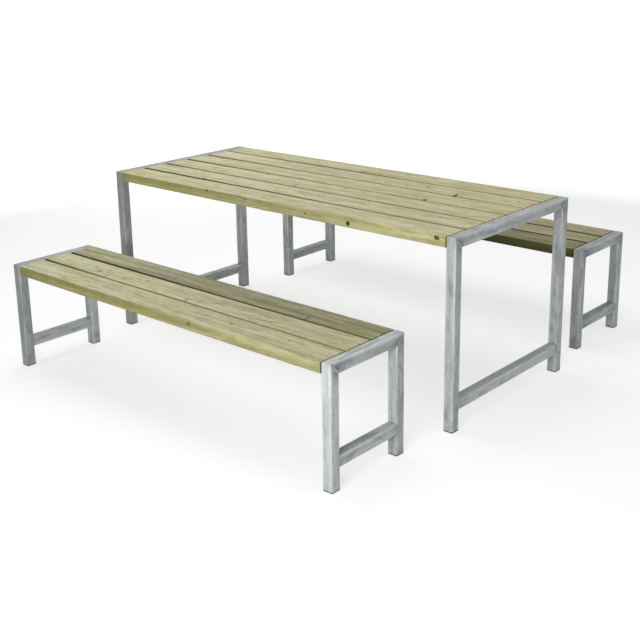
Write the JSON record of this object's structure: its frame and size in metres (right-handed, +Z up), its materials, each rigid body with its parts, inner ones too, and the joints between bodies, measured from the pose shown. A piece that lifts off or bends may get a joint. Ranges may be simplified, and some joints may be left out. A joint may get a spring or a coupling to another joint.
{
  "type": "garden table and bench set",
  "caption": "Rectangular plank table with a free-standing plank bench on each long side, all on end frames of square steel tube; the benches slide under the table.",
  "frame": {"origin": "on the ground, in the middle of the whole set's outline, 9 mm behind the middle of the table", "axes": "+X along the planks towards the right end, +Y from the front bench to the rear bench, +Z up"},
  "size_m": [1.8324, 1.988, 0.72],
  "materials": {
    "pressure_treated_pine": "planed pine, pressure treated, pale green-beige with olive edges, matt",
    "galvanised_steel": "hot-dip galvanised tube, mottled blue-grey, low sheen",
    "zinc_plated_fixings": "zinc plated, satin",
    "black_plastic": "moulded black plastic, fine grain"
  },
  "bodies": {
    "table": {"table_plank_1": "pressure_treated_pine", "table_plank_2": "pressure_treated_pine", "table_plank_3": "pressure_treated_pine", "table_plank_4": "pressure_treated_pine", "table_plank_5": "pressure_treated_pine", "table_plank_6": "pressure_treated_pine", "table_leg_front_right": "galvanised_steel", "table_leg_rear_right": "galvanised_steel", "table_leg_front_left": "galvanised_steel", "table_leg_rear_left": "galvanised_steel", "table_top_rail_right": "galvanised_steel", "table_top_rail_left": "galvanised_steel", "table_stretcher_right": "galvanised_steel", "table_stretcher_left": "galvanised_steel", "table_plank_ledge_right": "zinc_plated_fixings", "table_plank_ledge_left": "zinc_plated_fixings", "table_tie_bar": "zinc_plated_fixings", "table_feet": "black_plastic", "table_screws": "zinc_plated_fixings", "table_weld_beads": "galvanised_steel"},
    "front_bench": {"front_bench_plank_1": "pressure_treated_pine", "front_bench_plank_2": "pressure_treated_pine", "front_bench_plank_3": "pressure_treated_pine", "front_bench_leg_front_right": "galvanised_steel", "front_bench_leg_rear_right": "galvanised_steel", "front_bench_leg_front_left": "galvanised_steel", "front_bench_leg_rear_left": "galvanised_steel", "front_bench_top_rail_right": "galvanised_steel", "front_bench_top_rail_left": "galvanised_steel", "front_bench_stretcher_right": "galvanised_steel", "front_bench_stretcher_left": "galvanised_steel", "front_bench_plank_ledge_right": "zinc_plated_fixings", "front_bench_plank_ledge_left": "zinc_plated_fixings", "front_bench_tie_bar": "zinc_plated_fixings", "front_bench_feet": "black_plastic", "front_bench_screws": "zinc_plated_fixings", "front_bench_weld_beads": "galvanised_steel"},
    "rear_bench": {"rear_bench_plank_1": "pressure_treated_pine", "rear_bench_plank_2": "pressure_treated_pine", "rear_bench_plank_3": "pressure_treated_pine", "rear_bench_leg_front_right": "galvanised_steel", "rear_bench_leg_rear_right": "galvanised_steel", "rear_bench_leg_front_left": "galvanised_steel", "rear_bench_leg_rear_left": "galvanised_steel", "rear_bench_top_rail_right": "galvanised_steel", "rear_bench_top_rail_left": "galvanised_steel", "rear_bench_stretcher_right": "galvanised_steel", "rear_bench_stretcher_left": "galvanised_steel", "rear_bench_plank_ledge_right": "zinc_plated_fixings", "rear_bench_plank_ledge_left": "zinc_plated_fixings", "rear_bench_tie_bar": "zinc_plated_fixings", "rear_bench_feet": "black_plastic", "rear_bench_screws": "zinc_plated_fixings", "rear_bench_weld_beads": "galvanised_steel"}
  },
  "joints": [
    {"name": "front_bench_slide", "type": "slide", "parent": "table", "child": "front_bench", "axis": [0, 1, 0], "range_m": [-0.2, 0.6]},
    {"name": "rear_bench_slide", "type": "slide", "parent": "table", "child": "rear_bench", "axis": [0, -1, 0], "range_m": [-0.2, 0.615]}
  ]
}
